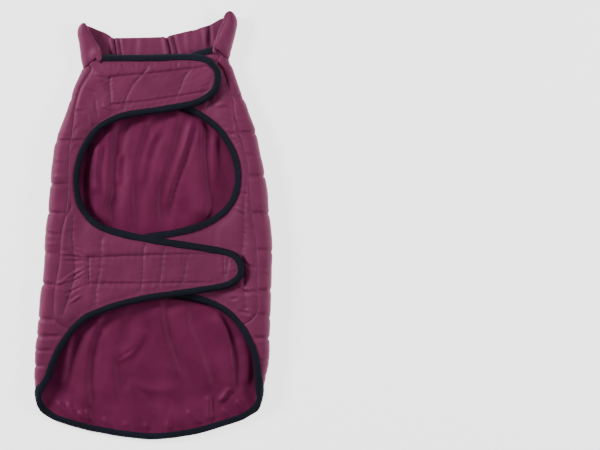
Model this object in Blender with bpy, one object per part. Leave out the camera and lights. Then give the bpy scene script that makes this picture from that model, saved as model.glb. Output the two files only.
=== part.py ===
"""Padded dog winter coat, laid flat on its back with the belly side up.

Frame: +X to the wearer's left-hand side of the spread coat, +Y to the collar, +Z up.
Every cloth piece is a wall made from one flat pattern (m, y) that is wrapped round the
two side folds: |m| up to the fold centre is the back, the next ARC is the fold, and the
rest is the front flap. All lengths below are in millimetres.
"""

import math

import bpy
import numpy as np
from mathutils import Vector
from mathutils.geometry import delaunay_2d_cdt

MM = 0.001
ORIGIN = (0.05, -1.59, 0.0)   # middle of the bounding box, so that it becomes the origin

# Cloth
SHELL = 3.0          # quilted cloth and wadding
LINING = 1.0         # smooth cloth
SEAM = 0.3           # gap between pieces
TAPE = 1.1           # hook or loop tape
OUT = SEAM / 2 + SHELL
INN = -(SEAM / 2 + LINING)

# Edge binding
BIND_WIDTH = 9.0     # visible width of the folded tape
BIND_WALL = 1.0
BIND_CLEAR = 0.5
EDGE_FROM_MIDDLE = BIND_WIDTH / 2 - BIND_WALL - BIND_CLEAR

# How the flaps lie
ARC = 240.0          # pattern units given to each fold
REACH = 62.0         # a flap comes down from its fold over this length
LOW = 7.8            # height of the right flap where it lies on the back
STACK = 8.0          # the left straps lie this much above the right tabs
LIFT = 2.0            # room for the binding under the hem
BAND = BIND_WIDTH - BIND_WALL - BIND_CLEAR

# Spacing of points in the pattern
BACK_STEP, FLAP_STEP, ROW_STEP, FOLD_STEPS = 54.0, 18.5, 24.0, 8

# A row for each cross-section: y, left outline, right outline, fold radius
SECTIONS = np.array([
    (272.0, 92.0, 102.0, 8.5),
    (260.0, 91.9, 103.1, 8.5),
    (250.0, 92.5, 104.4, 8.5),
    (240.0, 93.8, 102.5, 8.3),
    (225.0, 91.5, 99.1, 8.2),
    (210.0, 89.8, 96.0, 8.0),
    (200.0, 88.6, 95.6, 8.0),
    (192.5, 88.1, 99.4, 8.0),
    (185.0, 91.2, 101.9, 8.2),
    (170.0, 98.1, 106.9, 8.6),
    (155.0, 103.1, 113.1, 9.0),
    (135.0, 109.4, 120.6, 9.5),
    (115.0, 116.9, 128.1, 10.0),
    (95.0, 123.1, 131.9, 10.4),
    (75.0, 125.6, 136.9, 10.8),
    (45.0, 128.1, 141.9, 11.0),
    (15.0, 130.6, 144.4, 11.0),
    (-15.0, 134.4, 148.1, 11.0),
    (-55.0, 135.6, 148.1, 11.0),
    (-95.0, 140.6, 146.9, 11.0),
    (-135.0, 144.4, 145.6, 10.6),
    (-165.0, 146.9, 145.0, 10.0),
    (-195.0, 148.1, 140.0, 8.6),
    (-215.0, 145.6, 135.6, 8.0),
    (-225.0, 143.1, 133.1, 7.7),
    (-235.0, 139.4, 129.4, 7.5),
    (-250.0, 131.1, 122.4, 7.5),
])[::-1]

# Middle of the binding along the left front: x, y on the flap
LEFT_EDGE = (
    (-64.0, 206.0), (-35.5, 206.0), (-4.5, 206.0), (27.0, 207.0), (45.5, 207.0),
    (58.0, 206.0), (69.5, 202.0), (77.5, 194.0), (81.5, 182.5), (79.0, 169.5),
    (69.5, 159.0), (52.0, 150.5), (14.5, 143.0), (-17.0, 138.5), (-39.5, 134.0),
    (-59.5, 125.0), (-73.0, 114.5), (-85.5, 96.0), (-93.0, 76.0), (-95.5, 55.0),
    (-94.5, 37.5), (-89.5, 21.0), (-78.0, 6.0), (-62.0, -5.0), (-39.5, -12.0),
    (-17.0, -17.0), (8.0, -21.5), (30.5, -25.0), (63.0, -30.0), (90.5, -35.0),
    (104.0, -41.0), (110.0, -52.5), (108.0, -65.0), (95.5, -74.5), (73.0, -79.5),
    (33.0, -85.5), (-4.5, -91.0), (-34.5, -97.5), (-59.5, -105.5), (-82.0, -115.5),
    (-97.0, -127.5), (-108.0, -141.0), (-117.5, -156.0), (-125.5, -174.0),
    (-131.0, -190.0),
)
# Across the left fold: share of the half turn, y
LEFT_CORNER = ((0.9, -206.0), (0.65, -216.0), (0.38, -224.5), (0.12, -232.0))
# Round the hem of the back: x, y
HEM_EDGE = (
    (-124.0, -240.0), (-110.5, -245.0), (-92.0, -250.5),
    (-73.0, -255.0), (-35.5, -261.5), (2.0, -264.5), (39.5, -260.5), (64.5, -255.0),
    (97.0, -245.0), (112.0, -239.5),
)
# Across the right fold: share of the half turn, y
RIGHT_CORNER = ((0.12, -230.5), (0.38, -222.5), (0.62, -214.5), (0.85, -204.5))
# Middle of the binding along the right front with its two tabs: x, y on the flap
RIGHT_EDGE = (
    (131.0, -190.0), (130.0, -175.0), (127.5, -161.0), (123.0, -149.0),
    (114.5, -132.5), (103.0, -117.5), (89.5, -106.0), (72.0, -97.5), (55.5, -92.5),
    (33.0, -89.0), (-4.5, -85.0), (-34.5, -82.0), (-53.0, -75.5), (-62.5, -65.0),
    (-65.0, -53.0), (-61.0, -41.0), (-52.0, -32.0), (-35.5, -25.0), (-17.0, -20.0),
    (-2.0, -16.0), (27.0, -11.5), (53.0, -5.0), (74.5, 4.5), (89.5, 15.5),
    (99.5, 28.0), (105.0, 42.0), (107.0, 57.5), (105.0, 75.0), (99.5, 92.5),
    (90.5, 108.0), (78.0, 122.5), (63.0, 134.0), (47.0, 142.5), (23.0, 149.0),
    (-4.5, 152.5), (-25.5, 155.5), (-39.5, 162.0), (-45.0, 172.0), (-42.5, 182.0),
    (-32.0, 189.5), (-10.5, 195.0), (14.5, 199.0), (33.0, 203.0), (48.0, 208.0),
    (60.5, 212.5), (73.0, 216.0),
)

# Neck seam. On the flaps x, y; on the folds share, y; on the back x, y
NECK_RIGHT_FLAP = ((77.5, 220.0), (82.0, 215.5), (86.0, 211.0))
NECK_RIGHT_FOLD = ((0.85, 206.5), (0.5, 203.0), (0.15, 199.5))
NECK_BACK = ((77.0, 190.0), (62.0, 181.5), (45.5, 175.5), (25.0, 171.0), (4.5, 169.0),
             (-13.0, 169.2), (-29.5, 171.5), (-48.0, 175.5), (-67.0, 181.0))
NECK_LEFT_FOLD = ((0.15, 187.5), (0.5, 190.5), (0.85, 194.0))
NECK_LEFT_FLAP = ((-78.5, 198.5), (-74.0, 202.0), (-69.5, 206.0))

# Top of the collar: left end on its flap, over the fold, along the back, over, end
COLLAR_LEFT_END = ((-69.5, 208.5), (-66.8, 213.0), (-71.5, 225.0), (-77.5, 237.0))
COLLAR_LEFT_FOLD = ((0.93, 247.0), (0.7, 251.0), (0.4, 251.5), (0.15, 250.0))
COLLAR_TOP = ((-78.0, 246.5), (-69.5, 241.0), (-62.0, 237.5), (-53.0, 232.5),
              (-29.5, 231.0), (-10.0, 232.0), (8.0, 233.0), (18.0, 234.5),
              (45.5, 241.0), (70.5, 247.5), (84.0, 255.0))
COLLAR_RIGHT_FOLD = ((0.1, 262.0), (0.4, 265.5), (0.7, 264.5), (0.93, 259.5))
COLLAR_RIGHT_END = ((86.5, 249.0), (82.5, 239.0), (78.0, 229.5), (76.2, 223.5))

# Side seams, from the neck to the rear opening: x, y on the flap
LEFT_SEAM = ((-78.5, 198.5), (-88.0, 172.5), (-97.0, 140.0), (-102.0, 101.0), (-104.5, 56.0),
             (-108.0, 12.5), (-114.5, -21.0), (-117.0, -55.0), (-121.0, -77.5),
             (-122.5, -95.0), (-121.0, -118.0))
RIGHT_SEAM = ((86.0, 211.0), (96.0, 166.0), (101.5, 136.0), (107.0, 115.0), (112.5, 95.0),
              (120.0, 46.0), (123.0, 12.5), (127.5, -15.0), (130.0, -64.0),
              (130.0, -81.0), (129.0, -112.0))

# Fastening tapes: x, y of the corners on the flap
HOOK_CHEST = ((-52.0, 179.0), (64.0, 192.0), (64.0, 166.0), (-52.0, 151.5))
HOOK_BELLY = ((-77.0, -44.0), (85.0, -42.5), (85.0, -69.5), (-77.0, -71.0))
LOOP_CHEST = ((-31.0, 182.0), (52.0, 193.5), (52.0, 165.5), (-31.0, 165.0))
LOOP_BELLY = ((-51.0, -40.0), (64.0, -37.0), (64.0, -72.5), (-51.0, -70.5))


def curve(xs, ys, x):
    """Smooth curve through the rows of a table, read at x."""
    xs = np.asarray(xs, float)
    ys = np.asarray(ys, float)
    slope = np.gradient(ys, xs)
    i = np.clip(np.searchsorted(xs, x) - 1, 0, len(xs) - 2)
    h = xs[i + 1] - xs[i]
    t = np.clip((x - xs[i]) / h, 0.0, 1.0)
    a = ys[i] * (1 + 2 * t) * (1 - t) ** 2 + ys[i + 1] * t * t * (3 - 2 * t)
    b = slope[i] * t * (1 - t) ** 2 - slope[i + 1] * t * t * (1 - t)
    return a + b * h


def ease(t):
    t = np.clip(t, 0.0, 1.0)
    return t * t * (3 - 2 * t)


def section(side, y):
    """Fold centre and outer fold radius at y, on the side -1 or 1."""
    left = curve(SECTIONS[:, 0], SECTIONS[:, 1], y)
    right = curve(SECTIONS[:, 0], SECTIONS[:, 2], y)
    radius = curve(SECTIONS[:, 0], SECTIONS[:, 3], y)
    return np.where(side < 0, left, right) - radius, radius


def right_height(x, y):
    """Height of the right flap's reference surface over x, y."""
    centre, radius = section(1.0, y)
    top = 2 * radius - OUT
    return LOW + (top - LOW) * (1 - ease((centre - x) / REACH))


def left_height(x, y):
    """The left flap comes down from its fold, then lies on the right tabs."""
    centre, radius = section(-1.0, y)
    top = 2 * radius - OUT
    alone = LOW + (top - LOW) * (1 - ease((centre + x) / REACH))
    start = -87.0 - 22.0 * ease((40.0 - y) / 60.0)
    on_tabs = ease((x - start) / 34.0)
    return alone * (1 - on_tabs) + (right_height(x, y) + STACK) * on_tabs


def hem_lift(x, y):
    hem = np.interp(x, [p[0] for p in HEM_EDGE], [p[1] for p in HEM_EDGE])
    return LIFT * (1 - ease((y - hem - 10.0) / 30.0))


def surface(m, y):
    """Points between the two cloth layers."""
    m = np.asarray(m, float)
    y = np.asarray(y, float)
    side = np.where(m < 0, -1.0, 1.0)
    centre, radius = section(side, y)
    r = radius - OUT
    a = np.abs(m)
    turn = np.clip((a - centre) / ARC, 0, 1) * math.pi
    inward = np.maximum(a - centre - ARC, 0)
    x = side * (np.minimum(a, centre) + r * np.sin(turn) - inward)
    z = radius - r * np.cos(turn)
    flap = np.where(side < 0, left_height(x, y), right_height(x, y))
    z = np.where(inward > 0, flap, z)
    return np.stack([x, y, z + hem_lift(x, y)], axis=-1)


def slopes(m, y, h=0.25):
    along_m = (surface(m + h, y) - surface(m - h, y)) / (2 * h)
    along_y = (surface(m, y + h) - surface(m, y - h)) / (2 * h)
    return along_m, along_y


def normals(m, y):
    along_m, along_y = slopes(m, y)
    n = -np.cross(along_m, along_y)
    return n / np.linalg.norm(n, axis=-1, keepdims=True)


def layer(points, off):
    points = np.asarray(points, float)
    m, y = points[:, 0], points[:, 1]
    return surface(m, y) + off * normals(m, y)


def on_flap(side, pairs):
    """x, y over a flap to the pattern."""
    out = []
    for x, y in pairs:
        centre, _ = section(side, y)
        out.append((side * (float(centre) + ARC + float(centre) - side * x), y))
    return out


def on_fold(side, pairs):
    """Share of the half turn and y to the pattern."""
    out = []
    for share, y in pairs:
        centre, _ = section(side, y)
        out.append((side * (float(centre) + ARC * share), y))
    return out


def unroll(flat):
    """The pattern with its folds at their true length."""
    m, y = flat[:, 0], flat[:, 1]
    side = np.where(m < 0, -1.0, 1.0)
    centre, radius = section(side, y)
    a = np.abs(m)
    turn = np.clip((a - centre) / ARC, 0, 1) * math.pi * (radius - OUT)
    inward = np.maximum(a - centre - ARC, 0)
    return np.stack([side * (np.minimum(a, centre) + turn + inward), y], axis=1)


def roll(real):
    """The other way, from true lengths to the pattern."""
    q, y = real[:, 0], real[:, 1]
    side = np.where(q < 0, -1.0, 1.0)
    centre, radius = section(side, y)
    a = np.abs(q)
    length = math.pi * (radius - OUT)
    share = np.clip((a - centre) / length, 0, 1)
    inward = np.maximum(a - centre - length, 0)
    return np.stack([side * (np.minimum(a, centre) + ARC * share + inward), y], axis=1)


def true_slopes(q, y, h=0.25):
    """How the surface moves with the true lengths q and y."""
    def at(dq, dy):
        flat = roll(np.array([[q + dq, y + dy]]))
        return surface(flat[:, 0], flat[:, 1])[0]
    return (at(h, 0) - at(-h, 0)) / (2 * h), (at(0, h) - at(0, -h)) / (2 * h)


def march(point, tangent, distance, pieces=6):
    """A point this far to the left of an edge, walked over the surface."""
    here = np.array(point, float)
    heading = None
    for _ in range(pieces):
        along_q, along_y = true_slopes(*here)
        n = -np.cross(along_q, along_y)
        n = n / np.linalg.norm(n)
        if heading is None:
            heading = np.cross(n, along_q * tangent[0] + along_y * tangent[1])
        heading = heading - n * (heading @ n)
        heading = heading / np.linalg.norm(heading)
        basis = np.stack([along_q, along_y], axis=1)
        move = np.linalg.lstsq(basis, heading * distance / pieces, rcond=None)[0]
        here = here + move
    return roll(here[None])[0]


def spline(points, per=12):
    """Closely spaced points of a Catmull-Rom curve."""
    p = unroll(np.array(points, float))
    p = np.vstack([2 * p[0] - p[1], p, 2 * p[-1] - p[-2]])
    out = []
    for i in range(1, len(p) - 2):
        t = np.arange(per)[:, None] / per
        a, b, c, d = p[i - 1], p[i], p[i + 1], p[i + 2]
        out.append(0.5 * (2 * b + (c - a) * t + (2 * a - 5 * b + 4 * c - d) * t**2
                          + (3 * b - a - 3 * c + d) * t**3))
    out.append(p[-2][None])
    return roll(np.vstack(out))


def stations(points, closest, furthest, on_folds):
    """Points of a curve in the pattern, closer together where it bends or folds."""
    fine = spline(points)
    real = surface(fine[:, 0], fine[:, 1])
    steps = np.linalg.norm(np.diff(real, axis=0), axis=1)
    tangent = np.diff(real, axis=0) / steps[:, None]
    bend = np.linalg.norm(np.diff(tangent, axis=0), axis=1) / steps[1:]
    bend = np.concatenate([bend[:1], bend, bend[-1:]])
    bend = np.convolve(np.pad(bend, 6, "edge"), np.ones(13) / 13, "valid")[: len(steps)]
    wanted = np.clip(0.36 / np.maximum(bend, 1e-6), closest, furthest)
    past = np.abs(fine[1:, 0]) - section(np.sign(fine[1:, 0]), fine[1:, 1])[0]
    wanted = np.where((past > -3) & (past < ARC + 3), on_folds, wanted)
    count = np.concatenate([[0], np.cumsum(steps / wanted)])
    total = max(2, round(count[-1]))
    at = np.linspace(0, count[-1], total + 1)
    return np.stack([np.interp(at, count, fine[:, k]) for k in (0, 1)], axis=1)


def free_edge():
    """The bound edge from the left end of the collar round to the right end."""
    middle = (on_flap(-1, LEFT_EDGE) + on_fold(-1, LEFT_CORNER) + list(HEM_EDGE)
              + on_fold(1, RIGHT_CORNER) + on_flap(1, RIGHT_EDGE))
    middle = stations(middle, 6.5, 20.0, 1.9)
    real = unroll(middle)
    tangent = np.gradient(real, axis=0)
    edge = [march(p, t, EDGE_FROM_MIDDLE) for p, t in zip(real, tangent)]
    inner = [march(p, t, EDGE_FROM_MIDDLE - BAND) for p, t in zip(real, tangent)]
    return np.array(edge), np.array(inner)


def neck_line():
    """The seam of the collar, from the right end of the edge to the left end."""
    line = (on_flap(1, NECK_RIGHT_FLAP) + on_fold(1, NECK_RIGHT_FOLD) + list(NECK_BACK)
            + on_fold(-1, NECK_LEFT_FOLD) + on_flap(-1, NECK_LEFT_FLAP))
    return stations(line, 6.5, 17.0, 2.6)


def inside(point, polygon):
    x, y = point
    a = polygon
    b = np.roll(polygon, -1, axis=0)
    cross = (a[:, 1] > y) != (b[:, 1] > y)
    with np.errstate(divide="ignore", invalid="ignore"):
        at = a[:, 0] + (y - a[:, 1]) / (b[:, 1] - a[:, 1]) * (b[:, 0] - a[:, 0])
    return bool(np.count_nonzero(cross & (x < at)) % 2)


def clear_of(point, lines, distance):
    """True where the point is this far from every line of points."""
    for line in lines:
        a, b = line[:-1], line[1:]
        ab = b - a
        size = np.maximum((ab * ab).sum(1), 1e-9)
        t = np.clip(((point - a) * ab).sum(1) / size, 0, 1)
        gap = np.linalg.norm(a + ab * t[:, None] - point, axis=1)
        if gap.min() < distance:
            return False
    return True


def inner_points(y_low, y_high):
    """A loose grid of the pattern: coarse on the back, finer on folds and flaps."""
    found = []
    for row, y in enumerate(np.arange(y_low, y_high, ROW_STEP)):
        for side in (-1, 1):
            centre = float(section(side, y)[0])
            for k in range(FOLD_STEPS + 1):
                found.append((side * (centre + ARC * k / FOLD_STEPS), y))
            reach = centre - 0.4 * BACK_STEP
            for k in range(int(reach // BACK_STEP) + 1):
                found.append((side * (reach * (k + 0.5) / (reach // BACK_STEP + 1)), y))
    for row, y in enumerate(np.arange(y_low, y_high, FLAP_STEP)):
        for side in (-1, 1):
            centre = float(section(side, y)[0])
            first = FLAP_STEP * (0.9 if row % 2 else 0.55)
            for d in np.arange(first, 260.0, FLAP_STEP):
                found.append((side * (centre + ARC + d), y))
    return found


class Pattern:
    """One net of triangles for all the pieces that lie on each other."""

    def __init__(self, outline, core, lines, loops, y_low, y_high, margin):
        self.points = [tuple(p) for p in outline]
        count = len(outline)
        edges = [(i, (i + 1) % count) for i in range(count)]
        for line in lines:
            edges += self.add(line, False)
        for loop in loops:
            edges += self.add(loop, True)
        walls = [np.vstack([outline, outline[:1]])] + list(lines)
        walls += [np.vstack([loop, loop[:1]]) for loop in loops]
        for p in inner_points(y_low, y_high):
            if inside(p, core) and clear_of(np.array(p), walls, margin):
                self.points.append(p)
        made = delaunay_2d_cdt([Vector(p) for p in self.points], edges,
                               [], 0, 1e-4, False)
        self.flat = np.array([tuple(v) for v in made[0]])
        self.faces = np.array([f for face in made[2] for f in fan(face)])
        self.faces = self.within(outline)

    def add(self, line, closed):
        index = []
        for p in line:
            near = [i for i, q in enumerate(self.points)
                    if abs(q[0] - p[0]) + abs(q[1] - p[1]) < 1e-3]
            if not near:
                self.points.append(tuple(p))
            index.append(near[0] if near else len(self.points) - 1)
        ends = index + index[:1] if closed else index
        return list(zip(ends[:-1], ends[1:]))

    def within(self, polygon):
        centres = self.flat[self.faces].mean(axis=1)
        keep = [inside(c, polygon) for c in centres]
        return self.faces[np.array(keep)]


def fan(face):
    return [(face[0], face[i], face[i + 1]) for i in range(1, len(face) - 1)]


def colour(code):
    values = []
    for k in (1, 3, 5):
        c = int(code[k:k + 2], 16) / 255
        values.append(c / 12.92 if c <= 0.04045 else ((c + 0.055) / 1.055) ** 2.4)
    return (*values, 1.0)


def finish(name, points, faces, code, roughness):
    mesh = bpy.data.meshes.new(name)
    mesh.from_pydata([tuple(p) for p in (np.asarray(points) - ORIGIN) * MM], [], faces)
    mesh.validate()
    mesh.shade_smooth()
    material = bpy.data.materials.new(name)
    material.use_nodes = True
    shader = material.node_tree.nodes["Principled BSDF"]
    shader.inputs["Base Color"].default_value = colour(code)
    shader.inputs["Roughness"].default_value = roughness
    shader.inputs["Metallic"].default_value = 0.0
    mesh.materials.append(material)
    made = bpy.data.objects.new(name, mesh)
    bpy.context.scene.collection.objects.link(made)
    return made


def slab(name, pattern, faces, low, high, code, roughness, shift=None):
    """The faces of a pattern as a wall between two offsets."""
    used = np.unique(faces)
    flat = pattern.flat[used].copy()
    if shift is not None:
        flat = shift(flat)
    number = {int(v): i for i, v in enumerate(used)}
    count = len(used)
    points = np.vstack([layer(flat, high), layer(flat, low)])
    out = []
    rim = {}
    for face in faces:
        a, b, c = (number[int(v)] for v in face)
        out.append((a, c, b))
        out.append((a + count, b + count, c + count))
        for pair in ((a, b), (b, c), (c, a)):
            if pair[::-1] in rim:
                del rim[pair[::-1]]
            else:
                rim[pair] = True
    for a, b in rim:
        first = flat[a, 0] < flat[b, 0]
        c, d = a + count, b + count
        out += [(a, b, d), (a, d, c)] if first else [(a, b, c), (b, d, c)]
    return finish(name, points, out, code, roughness)


def ring_of(i, edge, inner, tangent):
    """The eight corners of the binding's section at one station."""
    e, n = edge[i], inner[i]
    b = np.cross(normals(*e), tangent)
    b = b / np.linalg.norm(b)
    past = abs(e[0]) - float(section(np.sign(e[0]), e[1])[0])
    clear = BIND_CLEAR * (1.5 if 0 < past < ARC + 6 else 1.0)
    top = OUT + clear
    low = INN - BIND_CLEAR
    at = lambda p, off: layer([p], off)[0]
    far = b * (clear + BIND_WALL)
    near = b * clear
    return [at(n, top + BIND_WALL), at(e, top + BIND_WALL) + far,
            at(e, low - BIND_WALL) + far, at(n, low - BIND_WALL),
            at(n, low), at(e, low) + near, at(e, top) + near, at(n, top)]


def binding(edge, inner):
    tangent = np.gradient(layer(edge, 0.0), axis=0)
    points = []
    for i in range(len(edge)):
        points += ring_of(i, edge, inner, tangent[i])
    faces = []
    for i in range(len(edge) - 1):
        for k in range(8):
            a, b = i * 8 + k, i * 8 + (k + 1) % 8
            c, d = a + 8, b + 8
            if k in (0, 1, 4, 5):
                faces += [(a, b, c), (b, d, c)]
            else:
                faces += [(a, b, d), (a, d, c)]
    last = (len(edge) - 1) * 8
    caps = ((0, 1, 6), (0, 6, 7), (1, 2, 5), (1, 5, 6), (2, 3, 4), (2, 4, 5))
    for a, b, c in caps:
        faces.append((a, c, b))
        faces.append((last + a, last + b, last + c))
    faces = [face[::-1] for face in faces]
    return finish("edge_binding", points, faces, "#161E2C", 0.75)


def seam_line(side, table, neck, edge, inner):
    """A side seam from its neck point to the nearest station of the bound edge."""
    body = np.array(on_flap(side, table))
    start = neck[np.argmin(np.linalg.norm(neck - body[0], axis=1))]
    k = int(np.argmin(np.linalg.norm(inner - body[-1], axis=1)))
    line = stations(np.vstack([start[None], body[1:], inner[k][None]]), 7.0, 17.0, 7.0)
    return np.vstack([line, edge[k][None]]), k


def away_from(line, side, gap):
    """Moves points of a seam off it in the pattern."""
    def moved(flat):
        on_line = [np.abs(line - p).sum(axis=1).min() < 2e-3 for p in flat]
        real = unroll(flat)
        real[:, 0] += np.where(on_line, side * gap, 0.0)
        return roll(real)
    return moved


def both(first, second):
    return lambda flat: second(first(flat))


def make():
    edge, inner = free_edge()
    neck = neck_line()
    outline = np.vstack([edge, neck])
    left, kl = seam_line(-1, LEFT_SEAM, neck, edge, inner)
    right, kr = seam_line(1, RIGHT_SEAM, neck, edge, inner)
    loops = [np.array(on_flap(-1, HOOK_CHEST)), np.array(on_flap(-1, HOOK_BELLY)),
             np.array(on_flap(1, LOOP_CHEST)), np.array(on_flap(1, LOOP_BELLY))]
    rungs = [np.stack([edge[i], inner[i]]) for i in range(len(edge))]
    cross = [np.stack([edge[i], inner[i + 1]]) for i in range(len(edge) - 1)]
    core = np.vstack([inner, neck])
    net = Pattern(outline, core, [inner, left[:-1], right[:-1]] + rungs + cross, loops,
                  -250.0, 215.0, 6.0)
    loop = outline
    nl = len(edge) + int(np.argmin(np.abs(neck - left[0]).sum(axis=1)))
    nr = len(edge) + int(np.argmin(np.abs(neck - right[0]).sum(axis=1)))
    left_part = np.vstack([loop[:kl], left[::-1], loop[nl + 1:]])
    right_part = np.vstack([loop[kr + 1:nr], right])
    back_part = np.vstack([loop[kl + 1:kr], right[::-1], loop[nr + 1:nl], left])
    half = SEAM / 2 + 0.02
    off_back = both(away_from(left, 1, half), away_from(right, -1, half))
    wine, inside_wine = "#7A3358", "#6B2440"
    slab("quilted_back", net, net.within(back_part), SEAM / 2, OUT, wine, 0.5, off_back)
    slab("quilted_left_front", net, net.within(left_part), SEAM / 2, OUT, wine, 0.5,
         away_from(left, -1, half))
    slab("quilted_right_front", net, net.within(right_part), SEAM / 2, OUT, wine, 0.5,
         away_from(right, 1, half))
    slab("smooth_lining", net, net.faces, INN, -SEAM / 2, inside_wine, 0.5)
    for name, polygon in zip(("hook_tape_chest", "hook_tape_belly"), loops[:2]):
        slab(name, net, net.within(polygon), INN - SEAM - TAPE, INN - SEAM, "#15161C", 0.9)
    for name, polygon in zip(("loop_tape_chest", "loop_tape_belly"), loops[2:]):
        slab(name, net, net.within(polygon), OUT + SEAM, OUT + SEAM + TAPE, "#15161C", 0.95)
    binding(edge, inner)
    collar(neck)


def collar(neck):
    """The padded band that stands on the neck seam and folds over at both sides."""
    base = neck + (0.0, 0.6)
    top = (on_flap(-1, COLLAR_LEFT_END) + on_fold(-1, COLLAR_LEFT_FOLD)
           + list(COLLAR_TOP) + on_fold(1, COLLAR_RIGHT_FOLD)
           + on_flap(1, COLLAR_RIGHT_END))
    outline = np.vstack([base, np.array(top)])
    net = Pattern(outline, outline, [], [], 182.0, 270.0, 5.0)
    slab("collar", net, net.faces, INN, OUT, "#7E365C", 0.5)


for old in list(bpy.data.objects):
    bpy.data.objects.remove(old)
make()
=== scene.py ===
# %% [markdown]
# # Padded dog winter coat, laid flat on its back
#
# The coat is a quilted nylon shell with a smooth lining, a padded collar and one woven tape
# that binds every free edge. It lies on its back with the belly side up, and its left straps
# are closed over the right tabs. This lesson drapes finer cloth on the forms of the frame.
# All cloth shares one flat pattern, wrapped round the two side folds, as the real coat is cut
# flat and then closed round the dog. That keeps each layer clear of its neighbours.

# %% Start: the frame
import math

import bmesh
import bpy
import numpy as np
from mathutils import Matrix, Vector


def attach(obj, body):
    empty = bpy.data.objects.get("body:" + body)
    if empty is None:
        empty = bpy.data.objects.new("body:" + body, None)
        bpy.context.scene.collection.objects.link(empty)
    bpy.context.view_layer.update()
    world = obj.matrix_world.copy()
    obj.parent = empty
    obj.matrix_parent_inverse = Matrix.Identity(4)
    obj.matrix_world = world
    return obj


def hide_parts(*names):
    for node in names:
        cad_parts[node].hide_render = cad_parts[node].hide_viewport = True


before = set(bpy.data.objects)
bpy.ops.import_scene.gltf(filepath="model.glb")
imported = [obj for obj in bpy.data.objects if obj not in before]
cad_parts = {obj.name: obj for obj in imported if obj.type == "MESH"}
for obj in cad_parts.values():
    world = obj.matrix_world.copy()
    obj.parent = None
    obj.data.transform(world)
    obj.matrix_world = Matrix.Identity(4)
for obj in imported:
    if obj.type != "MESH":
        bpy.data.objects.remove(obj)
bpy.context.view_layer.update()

# %% [markdown]
# ## Sizes
#
# Lengths are millimetres until a point is placed. The shell is two layers of nylon with thin
# wadding, 3 mm in all, and the lining is one smooth layer. The tables below are the coat's own
# sizes: its outline over the two folds, its openings, its hem, its neck and its collar.

# %% Sizes
MM = 0.001
# the middle of the coat over these tables is the frame's origin
ORIGIN = (0.05, -1.59, 0.0)
# cloth thicknesses, and the hair of room between two layers
SHELL, LINING, SEAM, TAPE = 3.0, 1.0, 0.3, 1.1
OUT = SEAM / 2 + SHELL
INN = -(SEAM / 2 + LINING)
BIND_WIDTH, BIND_WALL, BIND_CLEAR = 9.0, 1.0, 0.5
EDGE_FROM_MIDDLE = BIND_WIDTH / 2 - BIND_WALL - BIND_CLEAR
BAND = BIND_WIDTH - BIND_WALL - BIND_CLEAR
# ARC stands for a fold's half turn in the pattern. REACH is how far in a flap comes down from
# its fold, LOW its height there, STACK the step up on to the tabs, and LIFT the hem's rise
ARC, REACH, LOW, STACK, LIFT = 240.0, 62.0, 7.8, 8.0, 2.0
# Half width of the groove that thread pulls, and how far thread runs from the collar's edge
THREAD_GROOVE, THREAD_FROM_EDGE = 1.3, 2.4
# A line farther than this has no say at a point
FAR = 1e8

# A row for each cross-section: y, left outline, right outline, fold radius
SECTIONS = np.array([
    (272.0, 92.0, 102.0, 8.5),
    (260.0, 91.9, 103.1, 8.5),
    (250.0, 92.5, 104.4, 8.5),
    (240.0, 93.8, 102.5, 8.3),
    (225.0, 91.5, 99.1, 8.2),
    (210.0, 89.8, 96.0, 8.0),
    (200.0, 88.6, 95.6, 8.0),
    (192.5, 88.1, 99.4, 8.0),
    (185.0, 91.2, 101.9, 8.2),
    (170.0, 98.1, 106.9, 8.6),
    (155.0, 103.1, 113.1, 9.0),
    (135.0, 109.4, 120.6, 9.5),
    (115.0, 116.9, 128.1, 10.0),
    (95.0, 123.1, 131.9, 10.4),
    (75.0, 125.6, 136.9, 10.8),
    (45.0, 128.1, 141.9, 11.0),
    (15.0, 130.6, 144.4, 11.0),
    (-15.0, 134.4, 148.1, 11.0),
    (-55.0, 135.6, 148.1, 11.0),
    (-95.0, 140.6, 146.9, 11.0),
    (-135.0, 144.4, 145.6, 10.6),
    (-165.0, 146.9, 145.0, 10.0),
    (-195.0, 148.1, 140.0, 8.6),
    (-215.0, 145.6, 135.6, 8.0),
    (-225.0, 143.1, 133.1, 7.7),
    (-235.0, 139.4, 129.4, 7.5),
    (-250.0, 131.1, 122.4, 7.5),
])[::-1]
print(len(SECTIONS), "cross-sections, widest",
      float((SECTIONS[:, 1] + SECTIONS[:, 2]).max()), "mm")

# %% [markdown]
# ## The bound edge
#
# One line runs round everything that is bound: the left front with its two straps, the corner of
# the left fold, the hem of the back, the other corner and the right front with its two tabs.

# %% The bound edge
# Middle of the binding along the left front: x, y on the flap
LEFT_EDGE = (
    (-67.0, 206.0), (-35.5, 206.0), (-4.5, 206.0), (27.0, 207.0), (45.5, 207.0),
    (58.0, 206.0), (69.5, 202.0), (77.5, 194.0), (81.5, 182.5), (79.0, 169.5),
    (69.5, 159.0), (52.0, 150.5), (14.5, 143.0), (-17.0, 138.5), (-39.5, 134.0),
    (-59.5, 125.0), (-73.0, 114.5), (-85.5, 96.0), (-93.0, 76.0), (-95.5, 55.0),
    (-94.5, 37.5), (-89.5, 21.0), (-78.0, 6.0), (-62.0, -5.0), (-39.5, -12.0),
    (-17.0, -17.0), (8.0, -21.5), (30.5, -25.0), (63.0, -30.0), (90.5, -35.0),
    (104.0, -41.0), (110.0, -52.5), (108.0, -65.0), (95.5, -74.5), (73.0, -79.5),
    (33.0, -85.5), (-4.5, -91.0), (-34.5, -97.5), (-59.5, -105.5), (-82.0, -115.5),
    (-97.0, -127.5), (-108.0, -141.0), (-117.5, -156.0), (-125.5, -174.0),
    (-131.0, -190.0),
)
# Across the left fold: share of the half turn, y
LEFT_CORNER = ((0.9, -206.0), (0.65, -216.0), (0.38, -224.5), (0.12, -232.0))
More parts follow.
